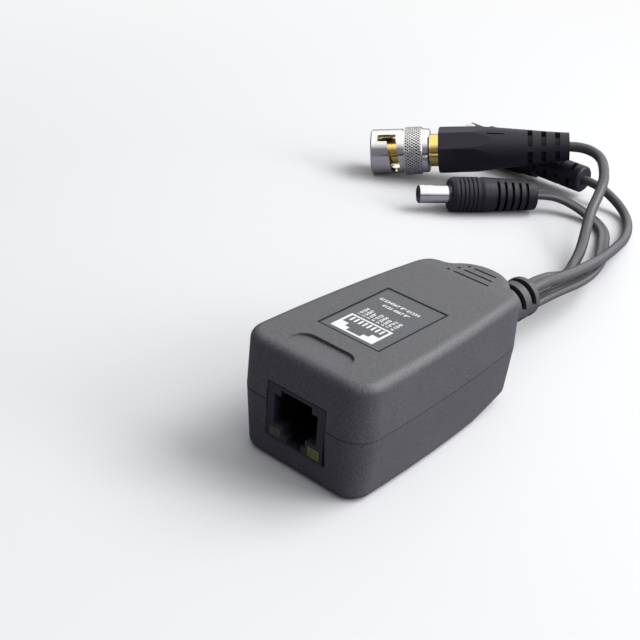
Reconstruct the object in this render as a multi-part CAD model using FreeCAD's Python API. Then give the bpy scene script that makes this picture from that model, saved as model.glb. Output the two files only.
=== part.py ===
import FreeCAD, Part
import math
import os

Vec = FreeCAD.Vector

os.makedirs("parts", exist_ok=True)

# Housing: two moulded half shells lying on the underside, front at -Y, nose at +Y
HOUSING_LENGTH = 66.8
HOUSING_HEIGHT = 28.0
FRONT_HALF_WIDTH = 17.25
SIDE_RADIUS = 410.0
FRONT_CORNER = 6.0
REAR_CORNER = 5.0
SHOULDER_Y = 22.5
NOSE_RADIUS = 9.2
NOSE_FILLET = 2.0
SEAM_HEIGHT = 15.0
LOWER_DRAFT = 1.2
UPPER_DRAFT = 0.3
EDGE_ROUND = 2.2
CREASE_ROUND = 12.0
WALL = 2.0
LIP_HEIGHT = 1.2
LIP_GAP = 0.08
SEAM_REVEAL = 0.25
TOP_FACET_START = 20.5
TOP_FACET_ANGLE = 6.0
BOTTOM_FACET_START = 10.5
BOTTOM_FACET_ANGLE = 9.0

# Finger groove behind the front edge of the upper shell
GROOVE_LENGTH = 15.5
GROOVE_WIDTH = 6.4
GROOVE_FROM_FRONT = 3.4
GROOVE_DEPTH = 0.65

# Label and its recess in the upper shell
LABEL_WIDTH = 16.2
LABEL_LENGTH = 22.8
LABEL_THICKNESS = 0.3
LABEL_GAP = 0.22
LABEL_RECESS = 0.42
LABEL_FROM_FRONT = 14.8

# Three plain marks on the rear facet: a dot and a shallow groove each
MARK_COUNT = 3
MARK_FIRST_Y = 22.6
MARK_PITCH = 2.9
MARK_FIRST_HALF_LENGTH = 5.6
MARK_LENGTH_STEP = 0.9
MARK_WIDTH = 0.9
MARK_DEPTH = 0.25
MARK_DOT_RADIUS = 0.45

# Modular jack, fitted contacts up and latch notch down
JACK_WIDTH = 16.0
JACK_HEIGHT = 13.5
JACK_DEPTH = 21.3
JACK_BOTTOM = 6.3
JACK_GAP = 0.12
JACK_SET_BACK = 0.15
PORT_WIDTH = 11.9
PORT_HEIGHT = 7.0
PORT_BELOW_TOP = 2.4
PORT_DEPTH = 13.0
CONTACT_BAY_WIDTH = 8.6
CONTACT_BAY_RISE = 1.5
LATCH_WIDTH = 6.2
LATCH_DROP = 1.8
KEY_WIDTH = 4.0
KEY_DROP = 1.6
LATCH_DEPTH = 9.5
CONTACT_COUNT = 8
CONTACT_PITCH = 1.02
CONTACT_WIDTH = 0.45
CONTACT_THICKNESS = 0.3
LED_WIDTH = 3.0
LED_HEIGHT = 2.2
LED_DEPTH = 4.0
LED_PROUD = 0.2
LED_FROM_SIDE = 1.1
LED_FROM_BOTTOM = 0.9

# Circuit board above the jack, with its parts hanging below it
BOARD_SIDE_GAP = 1.95
BOARD_LENGTH = 42.0
BOARD_THICKNESS = 1.6
BOARD_FROM_FRONT = 3.0
PAD_RADIUS = 0.55
PAD_COUNT = 6
PAD_PITCH = 3.2
PAD_FROM_REAR = 6.4
POST_RADIUS = 1.8
POST_INSET = 2.6
CORE_OUTER = 5.4
CORE_INNER = 2.9
CORE_HEIGHT = 4.4
TURN_COUNT = 10
TURN_WIRE = 0.5
TURN_GAP = 0.05

# Strain relief boot, held by a flange inside the nose
BOOT_RADIUS = 5.0
BOOT_CORE_RADIUS = 3.7
BOOT_HEIGHT = 14.3
BOOT_LENGTH = 14.8
BOOT_GAP = 0.1
BOOT_FLANGE_RADIUS = 6.6
BOOT_FLANGE_LENGTH = 2.0
BOOT_SLOT_COUNT = 3
BOOT_SLOT_WIDTH = 1.9
BOOT_SLOT_PITCH = 4.2
BOOT_END_RING = 1.9
BOOT_WEB_ANGLE = 10.0
BOOT_WEB_WIDTH = 2.2

# Bayonet plug, measured forward from the face of its moulding
BNC_MOULDING_LENGTH = 40.4
BNC_MOULDING_FRONT_RADIUS = 7.3
BNC_MOULDING_REAR_RADIUS = 4.3
BNC_FLATS = 8
BNC_ACROSS_FLATS = 13.4
BNC_SLOT_LEVELS = 3
BNC_SLOT_PITCH = 4.2
BNC_SLOT_WIDTH = 1.5
BNC_SLOT_DEPTH = 1.1
BNC_SLOT_FIRST = 4.4
BNC_SLOT_STEP = 0.5
BNC_WEB_ANGLE = 15.0
BNC_WEB_WIDTH = 1.7
BNC_KEY_SLOT_ANGLE = -25.0
BNC_TAIL_RADIUS = 3.9
BNC_TAIL_LENGTH = 3.0
BNC_COLLAR_RADIUS = 5.1
BNC_COLLAR_LENGTH = 2.6
BNC_BEARING_RADIUS = 4.7
BNC_BEARING_GAP = 0.06
BNC_FLANGE_RADIUS = 5.4
BNC_FLANGE_START = 7.1
BNC_FLANGE_LENGTH = 1.3
BNC_AXIAL_GAP = 0.15
BNC_GASKET_LENGTH = 0.9
BNC_LENGTH = 21.2
BNC_SLEEVE_RADIUS = 7.0
BNC_SLEEVE_BORE = 5.65
BNC_KNURL_RADIUS = 7.25
BNC_KNURL_START = 5.3
BNC_KNURL_LENGTH = 5.4
BNC_NECK_LENGTH = 0.6
BNC_NECK_RADIUS = 6.6
BNC_CONTACT_OUTER = 4.1
BNC_CONTACT_INNER = 3.6
BNC_CONTACT_END = 19.4
BNC_PIN_RADIUS = 0.68
BNC_PIN_END = 19.0
BNC_RAMP_WIDTH = 2.9
BNC_RAMP_RISE = 1.3
BNC_RAMP_TURN = 90.0
BNC_RAMP_START = 13.4
BNC_RAMP_ANGLE = -32.0
BNC_KEYWAY_WIDTH = 2.5
BNC_KEYWAY_RADIUS = 6.35
BNC_RIM_LENGTH = 2.3

# Phono plug, measured forward from the face of its moulding
RCA_MOULDING_RADIUS = 5.8
RCA_SHOULDER_RADIUS = 4.9
RCA_GRIP_LENGTH = 7.0
RCA_SHOULDER_LENGTH = 15.0
RCA_BOOT_LENGTH = 17.2
RCA_BOOT_RADIUS = 4.2
RCA_SLOT_COUNT = 4
RCA_SLOT_PITCH = 4.3
RCA_SLOT_WIDTH = 1.4
RCA_SLOT_DEPTH = 2.2
RCA_WEB_ANGLE = 24.0
RCA_WEB_WIDTH = 2.9
RCA_SLEEVE_RADIUS = 4.65
RCA_SLEEVE_WALL = 0.4
RCA_SLEEVE_LENGTH = 7.6
RCA_PIN_RADIUS = 1.6
RCA_PIN_LENGTH = 14.0
RCA_PIN_FOOT_RADIUS = 1.3
RCA_PIN_FOOT_LENGTH = 1.0
RCA_SEAT_DEPTH = 1.0

# Direct current plug, measured forward from the face of its moulding
DC_MOULDING_LENGTH = 26.8
DC_FRONT_RADIUS = 5.3
DC_REAR_RADIUS = 4.4
DC_BARREL_RADIUS = 2.75
DC_BARREL_WALL = 0.35
DC_BARREL_LENGTH = 9.5
DC_BARREL_FOOT_RADIUS = 2.55
DC_BARREL_FOOT_LENGTH = 0.3
DC_BORE_RADIUS = 1.05
DC_CONTACT_WALL = 0.3
DC_SEAT_DEPTH = 0.8
DC_RING_COUNT = 6
DC_SLOT_COUNT = 5
DC_SLOT_PITCH = 2.25
DC_SLOT_WIDTH = 0.9
DC_END_RING = 2.9

# Leads
VIDEO_DIAMETER = 3.1
VIDEO_BEDDED = 3.4
AUDIO_DIAMETER = 2.8
POWER_WIDTH = 3.7
POWER_THICKNESS = 1.9

# Lead routes between the boot and each plug, which lies in line with the run that enters it.
# The video lead starts inside its moulding, bedded in it.
VIDEO_ROUTE = [
    (-49.24, 138.66, 15.5), (-45.92, 140.97, 16.1), (-42.19, 141.93, 16.5), (-38.89, 141.76, 16.5),
    (-35.8, 140.6, 16.25), (-33.12, 138.51, 15.8), (-30.0, 134.5, 15.2), (-26.8, 129.6, 13.9),
    (-24.4, 123.4, 11.85), (-22.2, 116.1, 9.2), (-18.6, 108.6, 6.5), (-14.6, 100.3, 4.7),
    (-11.2, 90.8, 4.0), (-7.4, 81.6, 6.0), (-4.4, 72.9, 9.3), (-3.0, 64.1, 12.7),
    (-2.3, 55.8, 14.2), (-2.3, 48.2, 14.2),
]
AUDIO_ROUTE = [
    (0.7, 48.2, 15.5), (0.7, 55.3, 15.5), (0.8, 63.8, 14.3), (-0.2, 74.1, 12.6),
    (-2.1, 86.2, 10.3), (-5.3, 99.1, 7.6), (-9.2, 111.6, 4.8), (-12.6, 121.6, 2.4),
    (-16.9, 131.4, 1.5), (-21.8, 138.4, 1.5), (-26.4, 141.5, 2.8), (-30.9, 142.4, 4.6),
    (-35.7, 142.79, 6.12), (-40.6, 143.0, 6.1),
]
POWER_ROUTE = [
    (1.5, 48.2, 12.0), (1.5, 55.1, 12.0), (1.3, 63.7, 11.2), (0.7, 72.7, 9.8),
    (-1.4, 82.8, 8.1), (-5.6, 94.4, 5.7), (-10.9, 105.9, 3.1), (-16.0, 115.4, 1.3),
    (-20.4, 123.3, 1.1), (-25.2, 127.3, 1.3), (-29.7, 128.9, 1.9), (-34.1, 129.0, 3.1),
    (-38.4, 127.5, 4.5), (-42.0, 124.8, 5.35), (-44.8, 121.5, 5.35),
]

# Places worked out from the sizes above
FRONT_Y = -HOUSING_LENGTH / 2
NOSE_Y = HOUSING_LENGTH / 2 - NOSE_RADIUS
JACK_TOP = JACK_BOTTOM + JACK_HEIGHT
JACK_FRONT_Y = FRONT_Y + JACK_SET_BACK
PORT_TOP = JACK_TOP - PORT_BELOW_TOP
BOARD_WIDTH = 2 * (FRONT_HALF_WIDTH - WALL - UPPER_DRAFT - BOARD_SIDE_GAP)
BOARD_BOTTOM = JACK_TOP
BOARD_TOP = BOARD_BOTTOM + BOARD_THICKNESS
BOARD_FRONT_Y = FRONT_Y + BOARD_FROM_FRONT
PARTS_Y = JACK_FRONT_Y + JACK_DEPTH
BOOT_END_Y = HOUSING_LENGTH / 2 + BOOT_LENGTH


def save(shape, name):
    shape.exportStep("parts/" + name + ".step")


def box(x0, y0, z0, x1, y1, z1):
    return Part.makeBox(x1 - x0, y1 - y0, z1 - z0, Vec(x0, y0, z0))


def fuse_all(shapes):
    return shapes[0].multiFuse(shapes[1:]) if len(shapes) > 1 else shapes[0]


def revolved(profile):
    # profile is a closed list of (radius, height) about the local Z axis
    points = [Vec(r, 0, h) for r, h in profile]
    face = Part.Face(Part.makePolygon(points + [points[0]]))
    return face.revolve(Vec(0, 0, 0), Vec(0, 0, 1), 360)


def tube(outer, inner, start, end):
    return Part.makeCylinder(outer, end - start, Vec(0, 0, start)).cut(
        Part.makeCylinder(inner, end - start, Vec(0, 0, start)))


def polar(centre, radius, angle):
    return (centre[0] + radius * math.cos(angle), centre[1] + radius * math.sin(angle))


def plan_centres():
    # centres of the arcs on the +X side of the plan outline, and the angles where they meet
    front = (FRONT_HALF_WIDTH - FRONT_CORNER, FRONT_Y + FRONT_CORNER)
    side = (FRONT_HALF_WIDTH - SIDE_RADIUS, FRONT_Y + FRONT_CORNER)
    lean = math.asin((SHOULDER_Y - side[1]) / SIDE_RADIUS)
    corner = polar(side, SIDE_RADIUS - REAR_CORNER, lean)
    nose = (0.0, NOSE_Y)
    reach_corner = REAR_CORNER + NOSE_FILLET
    reach_nose = NOSE_RADIUS + NOSE_FILLET
    gap = math.dist(corner, nose)
    along = (reach_corner ** 2 - reach_nose ** 2 + gap ** 2) / (2 * gap)
    across = math.sqrt(reach_corner ** 2 - along ** 2)
    ux = (nose[0] - corner[0]) / gap
    uy = (nose[1] - corner[1]) / gap
    fillet = (corner[0] + along * ux + across * uy, corner[1] + along * uy - across * ux)
    if fillet[1] < corner[1]:
        fillet = (corner[0] + along * ux - across * uy, corner[1] + along * uy + across * ux)
    return front, side, lean, corner, fillet, nose


def outline(inset, height):
    # the housing's plan, drawn inward by inset, as a closed wire at the given height
    front, side, lean, corner, fillet, nose = plan_centres()
    to_fillet = math.atan2(fillet[1] - corner[1], fillet[0] - corner[0])
    from_nose = math.atan2(fillet[1] - nose[1], fillet[0] - nose[0])
    arcs = [
        (front, FRONT_CORNER - inset, -math.pi / 2, 0.0),
        (side, SIDE_RADIUS - inset, 0.0, lean),
        (corner, REAR_CORNER - inset, lean, to_fillet),
        (fillet, NOSE_FILLET + inset, to_fillet - math.pi, from_nose - math.pi),
    ]
    right = []
    for centre, radius, start, end in arcs:
        ends = [polar(centre, radius, a) for a in (start, (start + end) / 2, end)]
        right.append([Vec(x, y, height) for x, y in ends])
    left = [[Vec(-p.x, p.y, p.z) for p in reversed(arc)] for arc in reversed(right)]
    edges = [Part.Arc(*arc).toShape() for arc in right]
    top = [polar(nose, NOSE_RADIUS - inset, a) for a in (from_nose, math.pi / 2, math.pi - from_nose)]
    edges.append(Part.Arc(*[Vec(x, y, height) for x, y in top]).toShape())
    edges += [Part.Arc(*arc).toShape() for arc in left]
    edges.append(Part.makeLine(left[-1][2], right[0][0]))
    return Part.Wire(Part.__sortEdges__(edges))


def drafted(inset_low, low, inset_high, high):
    return Part.makeLoft([outline(inset_low, low), outline(inset_high, high)], True, True)


def facet_cutter(start_y, face_z, angle, sense):
    # a wedge that removes what lies beyond a plane falling away toward the nose
    reach = HOUSING_LENGTH
    slab = Part.makeBox(4 * FRONT_HALF_WIDTH, reach, reach,
                        Vec(-2 * FRONT_HALF_WIDTH, 0, 0 if sense > 0 else -reach))
    slab.rotate(Vec(0, 0, 0), Vec(1, 0, 0), -sense * angle)
    slab.translate(Vec(0, start_y, face_z))
    return slab


def is_crease(edge):
    bounds = edge.BoundBox
    return bounds.YLength < 1e-3 and bounds.XLength > FRONT_HALF_WIDTH and bounds.YMin > 0


def eased(solid, low, high):
    # rounds the crease of the facet first, then the rim between the walls and the flat faces
    inside = [e for e in solid.Edges if e.BoundBox.ZMin > low and e.BoundBox.ZMax < high]
    soft = solid.makeFillet(CREASE_ROUND, [e for e in inside if is_crease(e)])
    rim = [e for e in soft.Edges if e.BoundBox.ZMin > low and e.BoundBox.ZMax < high
           and not is_crease(e)]
    return soft.makeFillet(EDGE_ROUND, rim)


def pill(length, width, height):
    # a flat slab with round ends, centred on the origin, lying along X
    half = length / 2 - width / 2
    r = width / 2
    edges = [
        Part.makeLine(Vec(-half, -r, 0), Vec(half, -r, 0)),
        Part.Arc(Vec(half, -r, 0), Vec(half + r, 0, 0), Vec(half, r, 0)).toShape(),
        Part.makeLine(Vec(half, r, 0), Vec(-half, r, 0)),
        Part.Arc(Vec(-half, r, 0), Vec(-half - r, 0, 0), Vec(-half, -r, 0)).toShape(),
    ]
    return Part.Face(Part.Wire(edges)).extrude(Vec(0, 0, height))


def jack_opening():
    half = JACK_WIDTH / 2 + JACK_GAP
    return box(-half, FRONT_Y - 5, JACK_BOTTOM - JACK_GAP,
               half, FRONT_Y + WALL + LOWER_DRAFT + 2, JACK_TOP + JACK_GAP)


def boot_hole():
    return Part.makeCylinder(BOOT_RADIUS + BOOT_GAP, 3 * WALL + NOSE_RADIUS,
                             Vec(0, NOSE_Y, BOOT_HEIGHT), Vec(0, 1, 0))


def board_post_places():
    x = BOARD_WIDTH / 2 - POST_INSET
    return [(side * x, y) for side in (-1, 1)
            for y in (BOARD_FRONT_Y + POST_INSET + 1, BOARD_FRONT_Y + BOARD_LENGTH - POST_INSET)]


def upper_shell():
    facet = facet_cutter(TOP_FACET_START, HOUSING_HEIGHT, TOP_FACET_ANGLE, 1)
    body = drafted(0, SEAM_HEIGHT, UPPER_DRAFT, HOUSING_HEIGHT).cut(facet)
    body = eased(body, SEAM_HEIGHT + 5, HOUSING_HEIGHT + 1)
    cavity = drafted(WALL, SEAM_HEIGHT, WALL + UPPER_DRAFT, HOUSING_HEIGHT - WALL)
    inner_facet = facet_cutter(TOP_FACET_START, HOUSING_HEIGHT - WALL, TOP_FACET_ANGLE, 1)
    rebate = drafted(WALL / 2, SEAM_HEIGHT, WALL / 2, SEAM_HEIGHT + LIP_HEIGHT + LIP_GAP)
    reveal = drafted(-1, SEAM_HEIGHT, -1, SEAM_HEIGHT + SEAM_REVEAL).cut(
        drafted(SEAM_REVEAL, SEAM_HEIGHT - 1, SEAM_REVEAL, SEAM_HEIGHT + 1))
    body = body.cut(fuse_all([cavity.cut(inner_facet), rebate, reveal]))
    body = body.cut(jack_opening()).cut(boot_hole())
    posts = [Part.makeCylinder(POST_RADIUS, HOUSING_HEIGHT - WALL / 2 - BOARD_TOP, Vec(x, y, BOARD_TOP))
             for x, y in board_post_places()]
    body = body.fuse(posts)
    recess = box(-LABEL_WIDTH / 2 - LABEL_GAP, FRONT_Y + LABEL_FROM_FRONT - LABEL_GAP,
                 HOUSING_HEIGHT - LABEL_RECESS, LABEL_WIDTH / 2 + LABEL_GAP,
                 FRONT_Y + LABEL_FROM_FRONT + LABEL_LENGTH + LABEL_GAP, HOUSING_HEIGHT + 1)
    return body.cut(fuse_all([recess, finger_groove()] + rear_marks())).removeSplitter()


def finger_groove():
    # deepest along its rear edge and running out toward the front
    cutter = pill(GROOVE_LENGTH, GROOVE_WIDTH, 3)
    tilt = math.degrees(math.atan(GROOVE_DEPTH / GROOVE_WIDTH))
    cutter.rotate(Vec(0, -GROOVE_WIDTH / 2, 0), Vec(1, 0, 0), -tilt)
    cutter.translate(Vec(0, FRONT_Y + GROOVE_FROM_FRONT + GROOVE_WIDTH / 2, HOUSING_HEIGHT))
    return cutter


def rear_marks():
    cutters = []
    slope = math.tan(math.radians(TOP_FACET_ANGLE))
    for i in range(MARK_COUNT):
        y = MARK_FIRST_Y + i * MARK_PITCH
        half = MARK_FIRST_HALF_LENGTH - i * MARK_LENGTH_STEP
        z = HOUSING_HEIGHT - (y - TOP_FACET_START) * slope - MARK_DEPTH
        line = pill(2 * half - 3 * MARK_DOT_RADIUS, MARK_WIDTH, 2)
        line.rotate(Vec(0, 0, 0), Vec(1, 0, 0), -TOP_FACET_ANGLE)
        line.translate(Vec(1.5 * MARK_DOT_RADIUS, y, z))
        dot = Part.makeCylinder(MARK_DOT_RADIUS, 2, Vec(-half, y, z - MARK_DEPTH))
        cutters += [line, dot]
    return cutters


def lower_shell():
    facet = facet_cutter(BOTTOM_FACET_START, 0, BOTTOM_FACET_ANGLE, -1)
    body = drafted(LOWER_DRAFT, 0, 0, SEAM_HEIGHT).cut(facet)
    body = eased(body, -1, SEAM_HEIGHT - 5)
    cavity = drafted(WALL + LOWER_DRAFT, WALL, WALL, SEAM_HEIGHT)
    inner_facet = facet_cutter(BOTTOM_FACET_START, WALL, BOTTOM_FACET_ANGLE, -1)
    lip = drafted(WALL / 2 + LIP_GAP, SEAM_HEIGHT - 1, WALL / 2 + LIP_GAP, SEAM_HEIGHT + LIP_HEIGHT).cut(
        drafted(WALL, SEAM_HEIGHT - 2, WALL, SEAM_HEIGHT + LIP_HEIGHT + 1))
    body = body.cut(cavity.cut(inner_facet)).fuse(lip)
    body = body.cut(jack_opening()).cut(boot_hole())
    ribs = [box(side * JACK_WIDTH / 4 - WALL / 4, JACK_FRONT_Y + WALL, WALL / 2,
                side * JACK_WIDTH / 4 + WALL / 4, JACK_FRONT_Y + JACK_DEPTH - WALL, JACK_BOTTOM)
            for side in (-1, 1)]
    return body.fuse(ribs).removeSplitter()


def led_box(side, clearance):
    x = side * (JACK_WIDTH / 2 - LED_FROM_SIDE - LED_WIDTH / 2)
    z = JACK_BOTTOM + LED_FROM_BOTTOM
    half = LED_WIDTH / 2 + clearance
    return box(x - half, JACK_FRONT_Y - LED_PROUD, z - clearance,
               x + half, JACK_FRONT_Y + LED_DEPTH + clearance, z + LED_HEIGHT + clearance)


def jack_body():
    front = JACK_FRONT_Y
    shell = box(-JACK_WIDTH / 2, front, JACK_BOTTOM, JACK_WIDTH / 2, front + JACK_DEPTH, JACK_TOP)
    port_floor = PORT_TOP - PORT_HEIGHT
    port = box(-PORT_WIDTH / 2, front - 1, port_floor, PORT_WIDTH / 2, front + PORT_DEPTH, PORT_TOP)
    bay = box(-CONTACT_BAY_WIDTH / 2, front - 1, PORT_TOP - 1,
              CONTACT_BAY_WIDTH / 2, front + PORT_DEPTH, PORT_TOP + CONTACT_BAY_RISE)
    latch = box(-LATCH_WIDTH / 2, front - 1, port_floor - LATCH_DROP,
                LATCH_WIDTH / 2, front + LATCH_DEPTH, port_floor + 1)
    key = box(-KEY_WIDTH / 2, front - 1, port_floor - LATCH_DROP - KEY_DROP,
              KEY_WIDTH / 2, front + LATCH_DEPTH, port_floor)
    lights = [led_box(side, 0.05) for side in (-1, 1)]
    body = shell.cut(fuse_all([port, bay, latch, key] + lights))
    mouth = [e for e in body.Edges if abs(e.BoundBox.YMax - front) < 1e-6
             and abs(e.BoundBox.YMin - front) < 1e-6 and e.BoundBox.XMax - e.BoundBox.XMin > 15.9]
    return body.makeChamfer(0.3, mouth)


def jack_contact(index):
    # one bent spring: fixed leg along the ceiling, free leg slanting back and down
    x = (index - (CONTACT_COUNT - 1) / 2) * CONTACT_PITCH
    ceiling = PORT_TOP + CONTACT_BAY_RISE
    rear = JACK_FRONT_Y + PORT_DEPTH
    tip_y = JACK_FRONT_Y + 9.6
    tip_z = PORT_TOP - 2.2
    bend_y = JACK_FRONT_Y + 1.8
    t = CONTACT_THICKNESS
    side = [
        (rear, ceiling), (bend_y + 0.2, ceiling), (bend_y - 0.2, ceiling - 0.3),
        (bend_y, ceiling - 0.75), (tip_y, tip_z - t), (tip_y + 0.1, tip_z),
        (bend_y + 0.6, ceiling - 0.6), (bend_y + 0.6, ceiling - t), (rear, ceiling - t),
    ]
    points = [Vec(x - CONTACT_WIDTH / 2, y, z) for y, z in side]
    return Part.Face(Part.makePolygon(points + [points[0]])).extrude(Vec(CONTACT_WIDTH, 0, 0))


def led_lens(side):
    lens = led_box(side, 0)
    front = [e for e in lens.Edges if e.BoundBox.YMax < JACK_FRONT_Y - LED_PROUD + 1e-3]
    return lens.makeFillet(0.18, front)


def label():
    y = FRONT_Y + LABEL_FROM_FRONT
    z = HOUSING_HEIGHT - LABEL_RECESS
    return box(-LABEL_WIDTH / 2, y, z, LABEL_WIDTH / 2, y + LABEL_LENGTH, z + LABEL_THICKNESS)


def circuit_board():
    board = box(-BOARD_WIDTH / 2, BOARD_FRONT_Y, BOARD_BOTTOM,
                BOARD_WIDTH / 2, BOARD_FRONT_Y + BOARD_LENGTH, BOARD_TOP)
    upright = [e for e in board.Edges if e.BoundBox.ZLength > BOARD_THICKNESS - 1e-3]
    board = board.makeFillet(1.5, upright)
    pad_y = BOARD_FRONT_Y + BOARD_LENGTH - PAD_FROM_REAR
    pads = [Part.makeCylinder(PAD_RADIUS, BOARD_THICKNESS,
                              Vec((i - (PAD_COUNT - 1) / 2) * PAD_PITCH, pad_y, BOARD_BOTTOM))
            for i in range(PAD_COUNT)]
    return board.cut(fuse_all(pads))


def core_place():
    return Vec(-6.2, PARTS_Y + 7.2, BOARD_BOTTOM - TURN_WIRE - TURN_GAP - CORE_HEIGHT)


def transformer_core():
    core = tube(CORE_OUTER, CORE_INNER, 0, CORE_HEIGHT)
    core = core.makeFillet(0.4, core.Edges)
    core.translate(core_place())
    return core


def transformer_winding():
    # separate turns about the core's section, joined by a ring of wire under the board
    turns = []
    for i in range(TURN_COUNT):
        outer = box(CORE_INNER - TURN_GAP - TURN_WIRE, -TURN_WIRE / 2, -TURN_GAP - TURN_WIRE,
                    CORE_OUTER + TURN_GAP + TURN_WIRE, TURN_WIRE / 2, CORE_HEIGHT + TURN_GAP + TURN_WIRE)
        inner = box(CORE_INNER - TURN_GAP, -1, -TURN_GAP, CORE_OUTER + TURN_GAP, 1, CORE_HEIGHT + TURN_GAP)
        turn = outer.cut(inner)
        turn.rotate(Vec(0, 0, 0), Vec(0, 0, 1), i * 360 / TURN_COUNT)
        turns.append(turn)
    ring = tube(CORE_OUTER + TURN_GAP + TURN_WIRE, CORE_OUTER - TURN_WIRE,
                CORE_HEIGHT + TURN_GAP, CORE_HEIGHT + TURN_GAP + TURN_WIRE)
    coil = fuse_all(turns + [ring])
    coil.translate(core_place())
    return coil


def film_capacitor():
    body = box(1.5, PARTS_Y + 1.5, BOARD_BOTTOM - 7, 4.6, PARTS_Y + 9.0, BOARD_BOTTOM)
    return body.makeFillet(0.5, [e for e in body.Edges if e.BoundBox.ZMax < BOARD_BOTTOM - 1e-3])


def resettable_fuse():
    return Part.makeCylinder(3.2, 1.8, Vec(7.2, PARTS_Y + 5.0, BOARD_BOTTOM - 3.2), Vec(1, 0, 0))


def surge_diode():
    body = Part.makeCylinder(1.35, 5.2, Vec(3.2, PARTS_Y + 13.2, BOARD_BOTTOM - 1.35), Vec(1, 0, 0))
    return body.makeChamfer(0.25, [e for e in body.Edges if e.Length > 2 and len(e.Vertexes) == 1])


def around(shape, angle):
    turned = shape.copy()
    turned.rotate(Vec(0, 0, 0), Vec(0, 0, 1), angle)
    return turned


def ring_slot(outer, inner, start, end, web_angles, web_width):
    # a slot cut right round between two radii, with solid webs left standing across it
    slot = tube(outer, inner, start, end)
    for angle in web_angles:
        web = around(box(0, -web_width / 2, start - 1, outer + 1, web_width / 2, end + 1), angle)
        slot = slot.cut(web)
    return slot


def lead_boot():
    # built along local Z from the inner flange, then laid along +Y
    reach = math.sqrt((NOSE_RADIUS - WALL) ** 2 - BOOT_FLANGE_RADIUS ** 2)
    start = NOSE_Y + reach - 2 * BOOT_GAP - BOOT_FLANGE_LENGTH
    length = BOOT_END_Y - start
    body = fuse_all([
        Part.makeCylinder(BOOT_RADIUS, length),
        Part.makeCylinder(BOOT_FLANGE_RADIUS, BOOT_FLANGE_LENGTH),
    ])
    end_edges = [e for e in body.Edges if abs(e.BoundBox.ZMin - length) < 1e-6]
    body = body.makeFillet(0.6, end_edges)
    for i in range(BOOT_SLOT_COUNT):
        top = length - BOOT_END_RING - i * BOOT_SLOT_PITCH
        body = body.cut(ring_slot(BOOT_RADIUS + 1, BOOT_CORE_RADIUS, top - BOOT_SLOT_WIDTH, top,
                                  (BOOT_WEB_ANGLE, BOOT_WEB_ANGLE + 180), BOOT_WEB_WIDTH))
    body.rotate(Vec(0, 0, 0), Vec(1, 0, 0), -90)
    body.translate(Vec(0, start, BOOT_HEIGHT))
    return body


def route_wire(points, arcs_printed):
    # straight runs joined by tangent arcs, each as large as its two runs allow
    nodes = [Vec(*p) for p in points]
    edges = []
    last = nodes[0]
    length = 0.0
    for before, corner, after in zip(nodes, nodes[1:], nodes[2:]):
        a = (before - corner).normalize()
        b = (after - corner).normalize()
        turn = math.pi - a.getAngle(b)
        run = min((before - corner).Length, (after - corner).Length)
        cut = 0.45 * run
        radius = cut / math.tan(turn / 2)
        start = corner + a * cut
        end = corner + b * cut
        middle = corner + (a + b).normalize() * (radius / math.cos(turn / 2) - radius)
        edges.append(Part.LineSegment(last, start).toShape())
        edges.append(Part.Arc(start, middle, end).toShape())
        arcs_printed.append(round(radius, 1))
        last = end
    edges.append(Part.LineSegment(last, nodes[-1]).toShape())
    wire = Part.Wire(edges)
    return wire


def round_lead(name, points, diameter):
    radii = []
    wire = route_wire(points, radii)
    start = Vec(*points[0])
    direction = (Vec(*points[1]) - start).normalize()
    profile = Part.Wire(Part.makeCircle(diameter / 2, start, direction))
    lead = wire.makePipeShell([profile], True, False)
    report_lead(name, lead, wire, math.pi * diameter ** 2 / 4, radii)
    return lead


def flat_lead(name, points, width, thickness):
    # twin cord whose broad side stays level along the route
    radii = []
    wire = route_wire(points, radii)
    start = Vec(*points[0])
    direction = (Vec(*points[1]) - start).normalize()
    section = pill(width, thickness, 1).Faces
    flat = [f for f in section if abs(f.CenterOfMass.z) < 1e-6][0].OuterWire
    flat.rotate(Vec(0, 0, 0), Vec(1, 0, 0), 90)
    flat.rotate(Vec(0, 0, 0), Vec(0, 0, 1), math.degrees(math.atan2(direction.y, direction.x)) - 90)
    flat.translate(start)
    shell = Part.BRepOffsetAPI.MakePipeShell(wire)
    shell.setBiNormalMode(Vec(0, 0, 1))
    shell.add(flat)
    shell.build()
    shell.makeSolid()
    lead = shell.shape()
    area = (width - thickness) * thickness + math.pi * thickness ** 2 / 4
    report_lead(name, lead, wire, area, radii)
    return lead


def report_lead(name, lead, wire, area, radii):
    print(name, "length", round(wire.Length, 1), "volume ratio",
          round(lead.Volume / (area * wire.Length), 4), "valid", lead.isValid(), "radii", radii)


def placed(shape, end, inner, bedded, length):
    # moves a plug built along local +Z on to its lead: end is the lead's last route point,
    # bedded inside the plug, and inner is the point before it
    end = Vec(*end)
    axis = (end - Vec(*inner)).normalize()
    moved = shape.copy()
    spin = FreeCAD.Rotation(Vec(0, 0, 1), axis)
    level = spin.multVec(Vec(1, 0, 0))
    want = Vec(0, 0, 1).cross(axis).normalize()
    twist = math.degrees(math.atan2(level.cross(want).dot(axis), level.dot(want)))
    turned = FreeCAD.Rotation(axis, twist).multiply(spin)
    moved.Placement = FreeCAD.Placement(end + axis * (length - bedded), turned)
    return moved


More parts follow.
